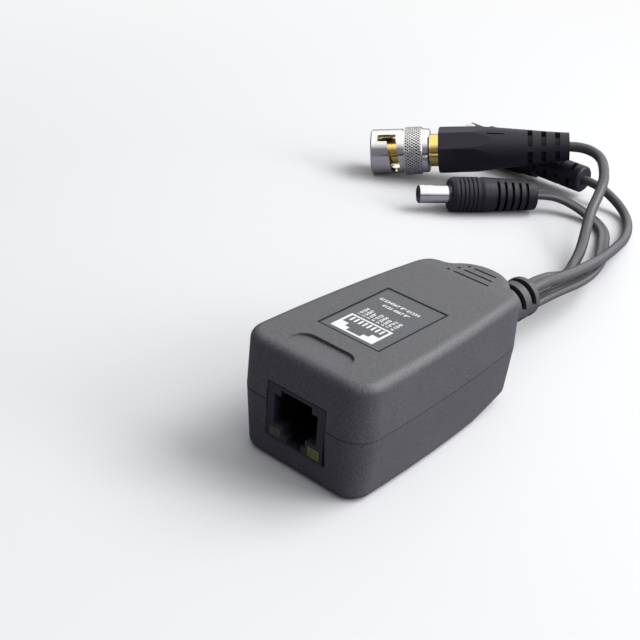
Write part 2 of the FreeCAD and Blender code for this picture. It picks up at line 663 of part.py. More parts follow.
def bnc_parts():
    front = BNC_MOULDING_FRONT_RADIUS
    length = BNC_MOULDING_LENGTH
    rear = BNC_MOULDING_REAR_RADIUS
    cone = revolved([(0, 0), (front - 0.4, 0), (front, -0.4), (front - 0.2, -12.0), (front - 0.8, -18.5),
                     (rear + 1.2, -length + 12.4), (rear + 0.5, -length + 6.0),
                     (rear, -length), (0, -length)])
    flats = []
    corner = BNC_ACROSS_FLATS / 2 / math.cos(math.pi / BNC_FLATS)
    for i in range(BNC_FLATS + 1):
        angle = (i + 0.5) * 2 * math.pi / BNC_FLATS
        flats.append(Vec(corner * math.cos(angle), corner * math.sin(angle), 1))
    prism = Part.Face(Part.makePolygon(flats)).extrude(Vec(0, 0, -length - 2))
    moulding = cone.common(prism)
    cuts = [Part.makeCylinder(BNC_TAIL_RADIUS, BNC_TAIL_LENGTH, Vec(0, 0, -BNC_TAIL_LENGTH))]
    for i in range(BNC_SLOT_LEVELS):
        low = -length + BNC_SLOT_FIRST - BNC_SLOT_WIDTH + i * BNC_SLOT_PITCH
        radius = rear + BNC_SLOT_STEP * i
        cuts.append(ring_slot(radius + 3, radius - BNC_SLOT_DEPTH, low, low + BNC_SLOT_WIDTH,
                              [BNC_WEB_ANGLE + 90 * k for k in range(4)], BNC_WEB_WIDTH))
    cuts.append(around(box(-0.25, front - 2.3, -20.5, 0.25, front + 2, -15.1), BNC_KEY_SLOT_ANGLE))
    moulding = moulding.cut(fuse_all(cuts))
    collar = tube(BNC_COLLAR_RADIUS, BNC_TAIL_RADIUS, 0, BNC_COLLAR_LENGTH)
    flange_end = BNC_FLANGE_START + BNC_FLANGE_LENGTH
    body = revolved([(0, -BNC_TAIL_LENGTH), (BNC_TAIL_RADIUS, -BNC_TAIL_LENGTH),
                     (BNC_TAIL_RADIUS, BNC_COLLAR_LENGTH), (BNC_BEARING_RADIUS, BNC_COLLAR_LENGTH),
                     (BNC_BEARING_RADIUS, BNC_FLANGE_START), (BNC_FLANGE_RADIUS, BNC_FLANGE_START),
                     (BNC_FLANGE_RADIUS, flange_end), (0, flange_end)])
    gasket = tube(BNC_FLANGE_RADIUS, BNC_CONTACT_OUTER + 0.05, flange_end, flange_end + BNC_GASKET_LENGTH)
    contact = tube(BNC_CONTACT_OUTER, BNC_CONTACT_INNER, flange_end, BNC_CONTACT_END)
    for angle in (0, 90):
        contact = contact.cut(around(box(-10, -0.25, flange_end + 4, 10, 0.25, BNC_CONTACT_END + 1), angle))
    nose_end = BNC_CONTACT_END - 5.4
    insulator = revolved([(BNC_PIN_RADIUS, flange_end), (BNC_CONTACT_INNER, flange_end),
                          (BNC_CONTACT_INNER, flange_end + 3.6), (2.3, flange_end + 3.6),
                          (2.3, nose_end), (BNC_PIN_RADIUS, nose_end)])
    pin = revolved([(0, flange_end), (BNC_PIN_RADIUS, flange_end), (BNC_PIN_RADIUS, BNC_PIN_END - 1.0),
                    (0.3, BNC_PIN_END), (0, BNC_PIN_END)])
    return {"bnc_moulding": moulding, "bnc_collar": collar, "bnc_body": body, "bnc_gasket": gasket,
            "bnc_contact_sleeve": contact, "bnc_insulator": insulator, "bnc_pin": pin}


def bnc_coupling():
    # the bayonet nut: rear rim, knurled ring, neck and sleeve with two ramped slots
    start = BNC_COLLAR_LENGTH + BNC_AXIAL_GAP
    knurl_end = BNC_KNURL_START + BNC_KNURL_LENGTH
    neck_end = knurl_end + BNC_NECK_LENGTH
    shoulder = BNC_FLANGE_START - BNC_AXIAL_GAP
    bearing = BNC_BEARING_RADIUS + BNC_BEARING_GAP
    nut = revolved([
        (bearing, start), (6.3, start), (6.9, start + 0.5), (6.9, BNC_KNURL_START - 0.3),
        (BNC_KNURL_RADIUS, BNC_KNURL_START), (BNC_KNURL_RADIUS, knurl_end),
        (BNC_NECK_RADIUS, knurl_end), (BNC_NECK_RADIUS, neck_end), (BNC_SLEEVE_RADIUS, neck_end),
        (BNC_SLEEVE_RADIUS, BNC_LENGTH - 0.4), (BNC_SLEEVE_RADIUS - 0.4, BNC_LENGTH),
        (BNC_SLEEVE_BORE + 0.3, BNC_LENGTH), (BNC_SLEEVE_BORE, BNC_LENGTH - 0.3),
        (BNC_SLEEVE_BORE, shoulder), (bearing, shoulder)])
    for turn in (0, 180):
        nut = nut.cut(around(bayonet_slot(), BNC_RAMP_ANGLE + turn))
    return nut


def bayonet_slot():
    # a keyway, covered by the rim at its mouth, then a ramp through the wall that ends in a round seat
    middle = (BNC_SLEEVE_BORE + BNC_SLEEVE_RADIUS) / 2
    depth = BNC_SLEEVE_RADIUS - BNC_SLEEVE_BORE + 2
    top = BNC_RAMP_START + BNC_RAMP_RISE
    pitch = BNC_RAMP_RISE * 360 / BNC_RAMP_TURN
    helix = Part.makeHelix(pitch, BNC_RAMP_RISE, middle)
    half = BNC_RAMP_WIDTH / 2
    corners = [Vec(middle - depth / 2, 0, -half), Vec(middle + depth / 2, 0, -half),
               Vec(middle + depth / 2, 0, half), Vec(middle - depth / 2, 0, half)]
    ramp = Part.Wire(helix).makePipeShell([Part.makePolygon(corners + [corners[0]])], True, True)
    ramp.translate(Vec(0, 0, BNC_RAMP_START))
    seat = Part.makeCylinder(half + 0.1, depth, Vec(middle - depth / 2, 0, BNC_RAMP_START), Vec(1, 0, 0))
    side = BNC_KEYWAY_WIDTH / 2
    covered = box(0, -side, top - half, BNC_KEYWAY_RADIUS, side, BNC_LENGTH + 1)
    window = box(0, -side, top - half, BNC_SLEEVE_RADIUS + 1, side, BNC_LENGTH - BNC_RIM_LENGTH)
    keyway = around(covered.fuse(window), BNC_RAMP_TURN)
    return ramp.fuse([seat, keyway])


def rca_parts():
    grip_end = -RCA_GRIP_LENGTH
    shoulder_end = grip_end - RCA_SHOULDER_LENGTH
    rear = shoulder_end - RCA_BOOT_LENGTH
    seat = RCA_SLEEVE_RADIUS
    moulding = revolved([
        (0, -RCA_SEAT_DEPTH), (seat, -RCA_SEAT_DEPTH), (seat, 0), (RCA_MOULDING_RADIUS - 0.5, 0),
        (RCA_MOULDING_RADIUS, -0.6), (RCA_MOULDING_RADIUS, grip_end), (RCA_SHOULDER_RADIUS, shoulder_end),
        (RCA_BOOT_RADIUS, shoulder_end), (RCA_BOOT_RADIUS, rear + 0.5),
        (RCA_BOOT_RADIUS - 0.5, rear), (0, rear)])
    cuts = []
    for i in range(RCA_SLOT_COUNT):
        # long slots with two webs take turns with short windows between four
        top = shoulder_end - i * RCA_SLOT_PITCH
        webs = 4 if i % 2 else 2
        cuts.append(ring_slot(RCA_BOOT_RADIUS + 1, RCA_BOOT_RADIUS - RCA_SLOT_DEPTH, top - RCA_SLOT_WIDTH, top,
                              [RCA_WEB_ANGLE + 360 * k / webs for k in range(webs)], RCA_WEB_WIDTH))
    moulding = moulding.cut(fuse_all(cuts))
    sleeve = tube(RCA_SLEEVE_RADIUS, RCA_SLEEVE_RADIUS - RCA_SLEEVE_WALL, -RCA_SEAT_DEPTH, RCA_SLEEVE_LENGTH)
    for angle in (0, 90):
        sleeve = sleeve.cut(around(box(-10, -0.9, 1.2, 10, 0.9, RCA_SLEEVE_LENGTH + 1), angle))
    inner = RCA_SLEEVE_RADIUS - RCA_SLEEVE_WALL
    insulator = revolved([(0, -RCA_SEAT_DEPTH), (inner, -RCA_SEAT_DEPTH), (inner, 0.6),
                          (RCA_PIN_FOOT_RADIUS, 0.6), (RCA_PIN_FOOT_RADIUS, 0), (0, 0)])
    pin = revolved([(0, 0), (RCA_PIN_FOOT_RADIUS, 0), (RCA_PIN_FOOT_RADIUS, RCA_PIN_FOOT_LENGTH),
                    (RCA_PIN_RADIUS, RCA_PIN_FOOT_LENGTH), (RCA_PIN_RADIUS, RCA_PIN_LENGTH - 1.2),
                    (1.3, RCA_PIN_LENGTH - 0.5), (0.7, RCA_PIN_LENGTH - 0.1), (0, RCA_PIN_LENGTH)])
    return {"rca_moulding": moulding, "rca_sleeve": sleeve, "rca_insulator": insulator, "rca_pin": pin}


def dc_parts():
    length = DC_MOULDING_LENGTH
    foot = DC_BARREL_FOOT_RADIUS
    profile = [(0, -DC_SEAT_DEPTH), (foot, -DC_SEAT_DEPTH), (foot, 0),
               (DC_FRONT_RADIUS - 0.8, 0), (DC_FRONT_RADIUS - 0.3, -0.5)]
    for i in range(DC_RING_COUNT):
        top = -1.6 - i * 1.3
        profile += [(DC_FRONT_RADIUS, top), (DC_FRONT_RADIUS, top - 0.8), (DC_FRONT_RADIUS - 0.3, top - 1.0)]
    profile += [(DC_FRONT_RADIUS, -10.2), (DC_REAR_RADIUS + 0.1, -length + 0.3),
                (DC_REAR_RADIUS - 0.2, -length), (0, -length)]
    moulding = revolved(profile)
    cuts = []
    for i in range(DC_SLOT_COUNT):
        low = -length + DC_END_RING + i * DC_SLOT_PITCH
        cuts.append(ring_slot(DC_REAR_RADIUS + 2, DC_REAR_RADIUS - 1.1, low, low + DC_SLOT_WIDTH, (90, 270), 2.6))
    moulding = moulding.cut(fuse_all(cuts))
    contact_outer = DC_BORE_RADIUS + DC_CONTACT_WALL
    barrel_inner = DC_BARREL_RADIUS - DC_BARREL_WALL
    barrel = revolved([
        (barrel_inner, -DC_SEAT_DEPTH), (foot, -DC_SEAT_DEPTH), (foot, DC_BARREL_FOOT_LENGTH),
        (DC_BARREL_RADIUS, DC_BARREL_FOOT_LENGTH), (DC_BARREL_RADIUS, DC_BARREL_LENGTH - 0.3),
        (barrel_inner, DC_BARREL_LENGTH - 0.3)])
    insulator = revolved([
        (0, -DC_SEAT_DEPTH), (barrel_inner, -DC_SEAT_DEPTH), (barrel_inner, DC_BARREL_LENGTH - 0.3),
        (DC_BARREL_RADIUS, DC_BARREL_LENGTH - 0.3), (DC_BARREL_RADIUS - 0.3, DC_BARREL_LENGTH),
        (contact_outer, DC_BARREL_LENGTH), (contact_outer, 0), (0, 0)])
    contact = tube(contact_outer, DC_BORE_RADIUS, 0, DC_BARREL_LENGTH - 0.4)
    return {"dc_moulding": moulding, "dc_barrel": barrel, "dc_insulator": insulator, "dc_contact": contact}


save(upper_shell(), "upper_shell")
save(lower_shell(), "lower_shell")
save(label(), "pin_label")
save(jack_body(), "jack_body")
for number in range(CONTACT_COUNT):
    save(jack_contact(number), "jack_contact_" + str(number + 1))
save(led_lens(-1), "led_left")
save(led_lens(1), "led_right")
save(circuit_board(), "circuit_board")
save(transformer_core(), "transformer_core")
save(transformer_winding(), "transformer_winding")
save(film_capacitor(), "film_capacitor")
save(resettable_fuse(), "resettable_fuse")
save(surge_diode(), "surge_diode")
save(lead_boot(), "lead_boot")
video_lead = round_lead("lead_video", VIDEO_ROUTE, VIDEO_DIAMETER)
save(video_lead, "lead_video")
save(round_lead("lead_audio", AUDIO_ROUTE, AUDIO_DIAMETER), "lead_audio")
power_lead = flat_lead("lead_power", POWER_ROUTE, POWER_WIDTH, POWER_THICKNESS)
save(power_lead, "lead_power")

bnc_places = (VIDEO_ROUTE[0], VIDEO_ROUTE[1], VIDEO_BEDDED, BNC_MOULDING_LENGTH)
for node, shape in bnc_parts().items():
    save(placed(shape, *bnc_places).cut(video_lead), node)
save(placed(bnc_coupling(), *bnc_places), "bnc_coupling")
rca_length = RCA_GRIP_LENGTH + RCA_SHOULDER_LENGTH + RCA_BOOT_LENGTH
rca_places = (AUDIO_ROUTE[-1], AUDIO_ROUTE[-2], 0, rca_length)
for node, shape in rca_parts().items():
    save(placed(shape, *rca_places), node)
dc_places = (POWER_ROUTE[-1], POWER_ROUTE[-2], 0, DC_MOULDING_LENGTH)
for node, shape in dc_parts().items():
    save(placed(shape, *dc_places).cut(power_lead), node)
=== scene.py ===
import math

import bmesh
import bpy
from mathutils import Matrix, Vector


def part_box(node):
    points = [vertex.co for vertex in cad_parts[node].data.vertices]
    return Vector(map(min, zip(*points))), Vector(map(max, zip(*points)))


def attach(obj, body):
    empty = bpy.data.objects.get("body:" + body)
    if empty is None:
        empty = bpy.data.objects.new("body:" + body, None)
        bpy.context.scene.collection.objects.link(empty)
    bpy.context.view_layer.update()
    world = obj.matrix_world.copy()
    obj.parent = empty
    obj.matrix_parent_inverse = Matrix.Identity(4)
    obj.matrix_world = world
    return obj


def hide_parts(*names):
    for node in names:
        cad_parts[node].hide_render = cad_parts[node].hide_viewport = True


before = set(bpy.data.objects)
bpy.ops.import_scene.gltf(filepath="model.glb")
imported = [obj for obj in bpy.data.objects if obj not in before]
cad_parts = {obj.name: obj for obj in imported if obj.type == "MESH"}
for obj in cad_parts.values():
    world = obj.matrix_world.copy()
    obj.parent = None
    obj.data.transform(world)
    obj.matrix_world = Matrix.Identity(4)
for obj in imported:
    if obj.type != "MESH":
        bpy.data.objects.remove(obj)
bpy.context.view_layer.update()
MM = 0.001
scene = bpy.context.scene


# Materials

def new_material(name):
    mat = bpy.data.materials.new(name)
    mat.use_nodes = True
    tree = mat.node_tree
    tree.nodes.clear()
    out = tree.nodes.new("ShaderNodeOutputMaterial")
    shader = tree.nodes.new("ShaderNodeBsdfPrincipled")
    tree.links.new(shader.outputs["BSDF"], out.inputs["Surface"])
    return mat, tree, shader


def node(tree, kind, **values):
    made = tree.nodes.new(kind)
    for key, value in values.items():
        if key in made.inputs:
            made.inputs[key].default_value = value
        else:
            setattr(made, key, value)
    return made


def position(tree):
    # a place in the piece's own mesh, in metres: for a CAD node that is the row frame
    return tree.nodes.new("ShaderNodeTexCoord").outputs["Object"]


def noise(tree, scale, detail, rough=0.55):
    made = node(tree, "ShaderNodeTexNoise", Scale=scale, Detail=detail, Roughness=rough)
    tree.links.new(position(tree), made.inputs["Vector"])
    return made.outputs["Fac"]


def ramp(tree, value, low, high, first, second):
    made = tree.nodes.new("ShaderNodeValToRGB")
    made.color_ramp.elements[0].position = low
    made.color_ramp.elements[1].position = high
    made.color_ramp.elements[0].color = first
    made.color_ramp.elements[1].color = second
    tree.links.new(value, made.inputs["Fac"])
    return made.outputs["Color"]


def spread(tree, value, low, high, first, second):
    made = node(tree, "ShaderNodeMapRange")
    for key, number in (("From Min", low), ("From Max", high), ("To Min", first), ("To Max", second)):
        made.inputs[key].default_value = number
    tree.links.new(value, made.inputs["Value"])
    return made.outputs["Result"]


def mixed(tree, factor, first, second):
    made = node(tree, "ShaderNodeMix", data_type="RGBA")
    for socket, value in ((made.inputs["Factor"], factor), (made.inputs[6], first), (made.inputs[7], second)):
        if isinstance(value, (tuple, float)):
            socket.default_value = value
        else:
            tree.links.new(value, socket)
    return made.outputs[2]


def maths(tree, operation, first, second):
    made = node(tree, "ShaderNodeMath", operation=operation)
    for socket, value in zip(made.inputs, (first, second)):
        if isinstance(value, (int, float)):
            socket.default_value = value
        else:
            tree.links.new(value, socket)
    return made.outputs[0]


def bump(tree, height, strength, distance, shader):
    made = node(tree, "ShaderNodeBump", Strength=strength, Distance=distance)
    tree.links.new(height, made.inputs["Height"])
    tree.links.new(made.outputs["Normal"], shader.inputs["Normal"])


def tinted(colour, factor):
    return tuple(min(1.0, c * factor) for c in colour[:3]) + (1.0,)


def rounded_edges(tree, fine):
    # the rounded band between the top and the long sides, paler in speckles where the spark texture catches
    # the light: partly worn plastic, partly a painted highlight
    normal = tree.nodes.new("ShaderNodeNewGeometry").outputs["Normal"]
    split = tree.nodes.new("ShaderNodeSeparateXYZ")
    tree.links.new(normal, split.inputs[0])
    lower = spread(tree, split.outputs["Z"], 0.3, 0.6, 0.0, 1.0)
    upper = spread(tree, split.outputs["Z"], 0.985, 0.93, 0.0, 1.0)
    beside = spread(tree, maths(tree, "ABSOLUTE", split.outputs["X"], 0.0), 0.08, 0.35, 0.0, 1.0)
    grains = maths(tree, "MULTIPLY", beside, spread(tree, fine, 0.46, 0.6, 0.0, 0.7))
    return maths(tree, "MULTIPLY", maths(tree, "MULTIPLY", lower, upper), grains)


def vector_maths(tree, operation, first, second=None):
    made = node(tree, "ShaderNodeVectorMath", operation=operation)
    tree.links.new(first, made.inputs[0])
    if second is not None:
        made.inputs[1].default_value = second
    return made.outputs["Value" if operation in ("DOT_PRODUCT", "LENGTH") else "Vector"]


def slot_floor_shade(origin, axis, start, end, floor, depth, slope=0.0):
    # painted shade: how deep a point lies in the slots round an axis, whose floor has the radius floor at
    # start; the slot floors are darkened toward black
    def mask(tree):
        place = vector_maths(tree, "SUBTRACT", position(tree), Vector(origin) * MM)
        along = vector_maths(tree, "DOT_PRODUCT", place, Vector(axis))
        radius = vector_maths(tree, "LENGTH", vector_maths(tree, "CROSS_PRODUCT", place, Vector(axis)))
        taper = maths(tree, "MULTIPLY", maths(tree, "SUBTRACT", along, start * MM), slope)
        rise = maths(tree, "SUBTRACT", radius, taper)
        sides = spread(tree, rise, (floor + 0.9 * depth) * MM, (floor + 0.15 * depth) * MM, 0.0, 0.92)
        inside = maths(tree, "MULTIPLY", maths(tree, "GREATER_THAN", along, start * MM),
                       maths(tree, "LESS_THAN", along, end * MM))
        return maths(tree, "MULTIPLY", sides, inside)
    return mask


def jack_shade(tree):
    # painted shade: black inside the jack, and along the gap round its face
    (_, front, _), (side, _, top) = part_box("jack_body")
    split = tree.nodes.new("ShaderNodeSeparateXYZ")
    tree.links.new(position(tree), split.inputs[0])
    inside = spread(tree, split.outputs["Y"], front + 0.4 * MM, front + 2.5 * MM, 0.0, 0.9)
    across = maths(tree, "ABSOLUTE", split.outputs["X"], 0.0)
    sides = spread(tree, across, side - 0.34 * MM, side - 0.24 * MM, 0.0, 1.0)
    head = spread(tree, split.outputs["Z"], top - 0.28 * MM, top - 0.18 * MM, 0.0, 1.0)
    return maths(tree, "MAXIMUM", maths(tree, "MAXIMUM", sides, head), inside)


def grey(value, tint=1.0):
    return (value, value, value * tint, 1.0)


def plastic(name, colour, roughness, grain, depth, speckle=0.12, wear_and_highlight=None, relief=0.35, painted_shade=None):
    # moulded plastic: base colour with faint cloudiness, spark texture and slight roughness changes; the
    # paler mask is partly wear and partly painted highlight, and the nearly black mask is painted shade
    mat, tree, shader = new_material(name)
    cloud = noise(tree, 90.0, 3.0)
    fine = noise(tree, grain, 5.0, 0.7)
    light = tinted(colour, 1 + speckle)
    base = ramp(tree, fine, 0.38, 0.62, tinted(colour, 1 - speckle), light)
    base = mixed(tree, spread(tree, cloud, 0.3, 0.7, 0.0, 0.35), base, light)
    if wear_and_highlight is not None:
        # paler where the mask lies: partly worn plastic, partly a painted highlight on the side fillets
        base = mixed(tree, wear_and_highlight(tree, fine), base, tinted(colour, 1.35))
    if painted_shade is not None:
        # painted shade: nearly black where the mask lies
        base = mixed(tree, painted_shade(tree), base, tinted(colour, 0.1))
    tree.links.new(base, shader.inputs["Base Color"])
    rough = spread(tree, cloud, 0.3, 0.7, roughness - 0.04, roughness + 0.06)
    tree.links.new(rough, shader.inputs["Roughness"])
    shader.inputs["Specular IOR Level"].default_value = 0.5
    bump(tree, fine, relief, depth, shader)
    return mat


def metal(name, colour, roughness):
    # polished plate, faintly stained and streaked
    mat, tree, shader = new_material(name)
    shader.inputs["Metallic"].default_value = 1.0
    cloud = noise(tree, 700.0, 3.0)
    stain = noise(tree, 160.0, 4.0)
    base = mixed(tree, spread(tree, stain, 0.35, 0.7, 0.0, 0.5), colour, tinted(colour, 0.82))
    tree.links.new(base, shader.inputs["Base Color"])
    tree.links.new(spread(tree, cloud, 0.3, 0.7, roughness, roughness + 0.05), shader.inputs["Roughness"])
    bump(tree, cloud, 0.08, 0.00003, shader)
    return mat


def plug_plastic(name, painted_shade=None):
    mat = plastic(name, (0.0185, 0.016, 0.0245, 1), 0.4, 2400.0, 0.00008, 0.25, relief=0.6, painted_shade=painted_shade)
    mat.node_tree.nodes["Principled BSDF"].inputs["Specular IOR Level"].default_value = 0.32
    return mat


housing = plastic("housing", (0.088, 0.089, 0.096, 1), 0.45, 2900.0, 0.0001, 0.36,
                  wear_and_highlight=rounded_edges, relief=0.7)
label_film = plastic("label_film", (0.094, 0.096, 0.104, 1), 0.45, 2400.0, 0.00001, 0.05)
ink = plastic("white_ink", grey(0.82), 0.5, 3000.0, 0.00001, 0.03)
# painted shade inside the jack and round its face
jack_plastic = plastic("jack_plastic", (0.036, 0.033, 0.042, 1), 0.3, 4200.0, 0.00002, 0.1,
                       painted_shade=jack_shade)
# painted shade in the boot's slots
boot_rubber = plastic("boot_rubber", (0.07, 0.07, 0.077, 1), 0.46, 3600.0, 0.00004, 0.1,
                      painted_shade=slot_floor_shade((0, 0, 14.3), (0, 1, 0), start=30.0, end=48.1, floor=3.7, depth=1.3))
plug_rubber = plug_plastic("plug_rubber")
sheath = plastic("sheath", (0.082, 0.081, 0.088, 1), 0.28, 2600.0, 0.00003, 0.08)
board_green = plastic("board_green", (0.02, 0.13, 0.045, 1), 0.4, 2400.0, 0.00002)
ferrite = plastic("ferrite", grey(0.05), 0.6, 3000.0, 0.00005)
wire_red = plastic("enamel", (0.45, 0.12, 0.03, 1), 0.25, 2000.0, 0.00001)
cap_red = plastic("capacitor_case", (0.33, 0.03, 0.02, 1), 0.25, 1500.0, 0.00001)
fuse_gold = plastic("fuse_coating", (0.5, 0.33, 0.05, 1), 0.3, 1500.0, 0.00002)
diode_black = plastic("diode_case", grey(0.02), 0.3, 1500.0, 0.00001)
white_plastic = plastic("white_insulator", grey(0.75, 0.96), 0.4, 1500.0, 0.00001, 0.04)
black_plastic = plastic("black_insulator", grey(0.02), 0.35, 1500.0, 0.00001)
# painted shade: a near-black sheet laid over the gap round the label
gap_shade = plastic("gap_shade", grey(0.003), 0.9, 1500.0, 0.00001)
gasket_grey = plastic("gasket", grey(0.22), 0.6, 1500.0, 0.00002)
nickel = metal("nickel", (0.94, 0.935, 0.92, 1), 0.12)
nickel_dull = metal("nickel_dull", (0.74, 0.71, 0.66, 1), 0.24)
gold = metal("gold", (1.0, 0.76, 0.22, 1), 0.16)


def knurled(name, colour):
    # plated metal with painted shade: dark at the foot of the relief, where the pits lie in shade
    mat, tree, shader = new_material(name)
    shader.inputs["Metallic"].default_value = 1.0
    relief = node(tree, "ShaderNodeAttribute", attribute_name="relief")
    grime = noise(tree, 1500.0, 3.0)
    # painted shade: the foot of the relief is darkened nearly to black
    depth = spread(tree, relief.outputs["Fac"], 0.62, 0.76, 0.0, 1.0)
    tree.links.new(mixed(tree, depth, tinted(colour, 0.02), colour), shader.inputs["Base Color"])
    tree.links.new(spread(tree, grime, 0.3, 0.7, 0.2, 0.32), shader.inputs["Roughness"])
    return mat


knurl_metal = knurled("knurl_metal", (0.97, 0.965, 0.95, 1))


def lens(name, colour):
    # a tinted, unlit lamp
    mat, tree, shader = new_material(name)
    cloud = noise(tree, 500.0, 3.0)
    tree.links.new(ramp(tree, cloud, 0.35, 0.7, tinted(colour, 0.45), colour), shader.inputs["Base Color"])
    shader.inputs["Roughness"].default_value = 0.28
    shader.inputs["Transmission Weight"].default_value = 0.25
    shader.inputs["IOR"].default_value = 1.5
    bump(tree, noise(tree, 2500.0, 2.0), 0.15, 0.00004, shader)
    return mat


green_lens = lens("green_lens", (0.12, 0.19, 0.1, 1))
amber_lens = lens("amber_lens", (0.35, 0.39, 0.12, 1))

finish = {
    "upper_shell": housing, "lower_shell": housing, "pin_label": label_film, "jack_body": jack_plastic,
    "led_left": green_lens, "led_right": amber_lens, "circuit_board": board_green,
    "transformer_core": ferrite, "transformer_winding": wire_red, "film_capacitor": cap_red,
    "resettable_fuse": fuse_gold, "surge_diode": diode_black, "lead_boot": boot_rubber,
    "bnc_moulding": plug_rubber, "rca_moulding": plug_rubber, "dc_moulding": plug_rubber,
    "bnc_collar": gold, "bnc_body": nickel, "bnc_coupling": nickel, "bnc_contact_sleeve": gold,
    "bnc_gasket": gasket_grey, "bnc_insulator": white_plastic, "bnc_pin": gold,
    "rca_sleeve": nickel_dull, "rca_insulator": white_plastic, "rca_pin": nickel,
    "dc_barrel": nickel, "dc_insulator": black_plastic, "dc_contact": nickel_dull,
}
for name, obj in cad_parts.items():
    mat = gold if name.startswith("jack_contact_") else finish.get(name)
    if mat is None:
        continue
    obj.data.materials.clear()
    obj.data.materials.append(mat)


# Leads: the same routes as the solids, in millimetres

VIDEO_ROUTE = [
    (-49.24, 138.66, 15.5), (-45.92, 140.97, 16.1), (-42.19, 141.93, 16.5), (-38.89, 141.76, 16.5),
    (-35.8, 140.6, 16.25), (-33.12, 138.51, 15.8), (-30.0, 134.5, 15.2), (-26.8, 129.6, 13.9),
    (-24.4, 123.4, 11.85), (-22.2, 116.1, 9.2), (-18.6, 108.6, 6.5), (-14.6, 100.3, 4.7),
    (-11.2, 90.8, 4.0), (-7.4, 81.6, 6.0), (-4.4, 72.9, 9.3), (-3.0, 64.1, 12.7),
    (-2.3, 55.8, 14.2), (-2.3, 48.2, 14.2),
]
AUDIO_ROUTE = [
    (0.7, 48.2, 15.5), (0.7, 55.3, 15.5), (0.8, 63.8, 14.3), (-0.2, 74.1, 12.6),
    (-2.1, 86.2, 10.3), (-5.3, 99.1, 7.6), (-9.2, 111.6, 4.8), (-12.6, 121.6, 2.4),
    (-16.9, 131.4, 1.5), (-21.8, 138.4, 1.5), (-26.4, 141.5, 2.8), (-30.9, 142.4, 4.6),
    (-35.7, 142.79, 6.12), (-40.6, 143.0, 6.1),
]
POWER_ROUTE = [
    (1.5, 48.2, 12.0), (1.5, 55.1, 12.0), (1.3, 63.7, 11.2), (0.7, 72.7, 9.8),
    (-1.4, 82.8, 8.1), (-5.6, 94.4, 5.7), (-10.9, 105.9, 3.1), (-16.0, 115.4, 1.3),
    (-20.4, 123.3, 1.1), (-25.2, 127.3, 1.3), (-29.7, 128.9, 1.9), (-34.1, 129.0, 3.1),
    (-38.4, 127.5, 4.5), (-42.0, 124.8, 5.35), (-44.8, 121.5, 5.35),
]
LEAD_STEPS = 14
VIDEO_DIAMETER, AUDIO_DIAMETER = 3.1, 2.8
POWER_WIDTH, POWER_THICKNESS = 3.7, 1.9
CORE_POINTS, CORE_ARC = 10, 250


def spline_curve(name, points):
    curve = bpy.data.curves.new(name, "CURVE")
    curve.dimensions = "3D"
    spline = curve.splines.new("NURBS")
    spline.points.add(len(points) - 1)
    for point, place in zip(spline.points, points):
        point.co = (place[0] * MM, place[1] * MM, place[2] * MM, 1.0)
    spline.order_u = 3
    spline.use_endpoint_u = True
    spline.resolution_u = LEAD_STEPS
    return curve


def round_lead(name, points, diameter):
    curve = spline_curve(name, points)
    curve.bevel_depth = diameter / 2 * MM
    curve.bevel_resolution = 6
    curve.use_fill_caps = True
    obj = bpy.data.objects.new(name, curve)
    scene.collection.objects.link(obj)
    obj.data.materials.append(sheath)
    return obj


def route_line(points):
    # points along the smooth line itself, read back from Blender's own spline
    curve = spline_curve("line", points)
    holder = bpy.data.objects.new("line", curve)
    scene.collection.objects.link(holder)
    mesh = bpy.data.meshes.new_from_object(holder)
    line = [v.co.copy() for v in mesh.vertices]
    bpy.data.objects.remove(holder)
    bpy.data.curves.remove(curve)
    bpy.data.meshes.remove(mesh)
    return line


def mesh_object(name, bm, mat, smooth=True):
    mesh = bpy.data.meshes.new(name)
    bm.normal_update()
    bm.to_mesh(mesh)
    bm.free()
    for face in mesh.polygons:
        face.use_smooth = smooth
    obj = bpy.data.objects.new(name, mesh)
    scene.collection.objects.link(obj)
    obj.data.materials.append(mat)
    return obj


def flat_lead(name, points, width, thickness):
    # two cores side by side, joined by a narrow web, so the section is a figure of eight
    line = route_line(points)
    core = thickness / 2
    centre = width / 2 - core
    ring = []
    for i in range(CORE_POINTS):
        a = math.radians(-CORE_ARC / 2 + CORE_ARC * i / (CORE_POINTS - 1))
        ring.append((centre + core * math.cos(a), core * math.sin(a)))
    ring += [(-x, -y) for x, y in ring]
    bm = bmesh.new()
    rows = []
    for i, place in enumerate(line):
        ahead = line[min(i + 1, len(line) - 1)] - line[max(i - 1, 0)]
        side = Vector((ahead.y, -ahead.x, 0)).normalized()
        up = side.cross(ahead).normalized()
        rows.append([bm.verts.new(place + side * x * MM + up * y * MM) for x, y in ring])
    for low, high in zip(rows, rows[1:]):
        for k in range(len(ring)):
            n = (k + 1) % len(ring)
            bm.faces.new((low[k], low[n], high[n], high[k]))
    bm.faces.new(rows[0][::-1])
    bm.faces.new(rows[-1])
    bmesh.ops.recalc_face_normals(bm, faces=bm.faces)
    return mesh_object(name, bm, sheath), line


video = round_lead("video_lead", VIDEO_ROUTE, VIDEO_DIAMETER)
audio = round_lead("audio_lead", AUDIO_ROUTE, AUDIO_DIAMETER)
power, power_line = flat_lead("power_lead", POWER_ROUTE, POWER_WIDTH, POWER_THICKNESS)
for piece, node_name in ((video, "lead_video"), (audio, "lead_audio"), (power, "lead_power")):
    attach(piece, "balun")
    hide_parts(node_name)


# Places of the plugs, each on the end of its lead

BNC_REACH, RCA_REACH = 37.0, 39.2  # from the lead's last point to the moulding's front face


def plug_place(end, inner, reach):
    # the moulding's front face, with Z toward the mating end and X level
    axis = (Vector(end) - Vector(inner)).normalized()
    side = Vector((0, 0, 1)).cross(axis).normalized()
    turn = Matrix((side, axis.cross(side), axis)).transposed().to_4x4()
    return Matrix.Translation((Vector(end) + axis * reach) * MM) @ turn


